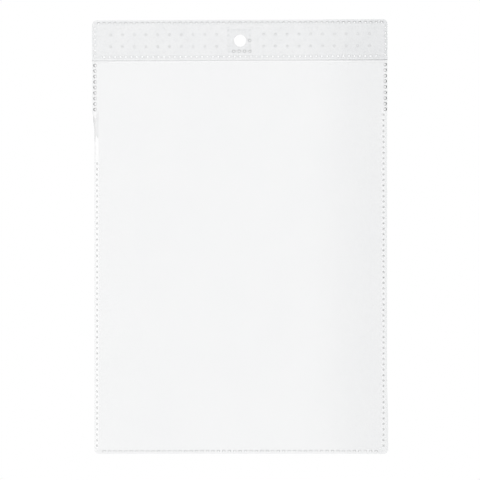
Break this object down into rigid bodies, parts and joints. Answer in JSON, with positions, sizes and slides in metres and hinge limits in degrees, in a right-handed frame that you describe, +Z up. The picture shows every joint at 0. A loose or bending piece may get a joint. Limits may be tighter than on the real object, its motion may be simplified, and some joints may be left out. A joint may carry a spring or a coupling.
{
  "type": "hanging display pocket",
  "caption": "Clear soft-film pocket that hangs by a punched header and displays an A4 sheet slid in through a slit mouth below it.",
  "frame": {"origin": "centre of the hanging hole, on the back face of the header", "axes": "+Z up along the height, +X across the width to the right as seen from the front, -Y out of the front"},
  "size_m": [0.226, 0.0017, 0.3311],
  "materials": {
    "clear_film": "clear soft PVC film, glossy, slightly wavy",
    "header_film": "clear soft PVC film, spot welded in a lattice of small dots",
    "fused_seam": "high-frequency weld with an imitation stitch"
  },
  "bodies": {
    "header": {"header_back": "clear_film", "header_lining": "header_film", "header_front_strip": "header_film", "header_top_weld": "fused_seam", "header_left_weld": "fused_seam", "header_right_weld": "fused_seam", "header_lip_weld": "fused_seam", "hanging_hole_weld": "fused_seam"},
    "pocket": {"back_sheet": "clear_film", "front_sheet": "clear_film", "mouth_left_weld": "fused_seam", "mouth_right_weld": "fused_seam", "side_left_weld": "fused_seam", "side_right_weld": "fused_seam", "bottom_weld": "fused_seam"}
  },
  "joints": [
    {"name": "header_fold", "type": "hinge", "parent": "header", "child": "pocket", "pos_m": [0, -0.0002, -0.016], "axis": [1, 0, 0], "range_deg": [-45, 120]}
  ]
}
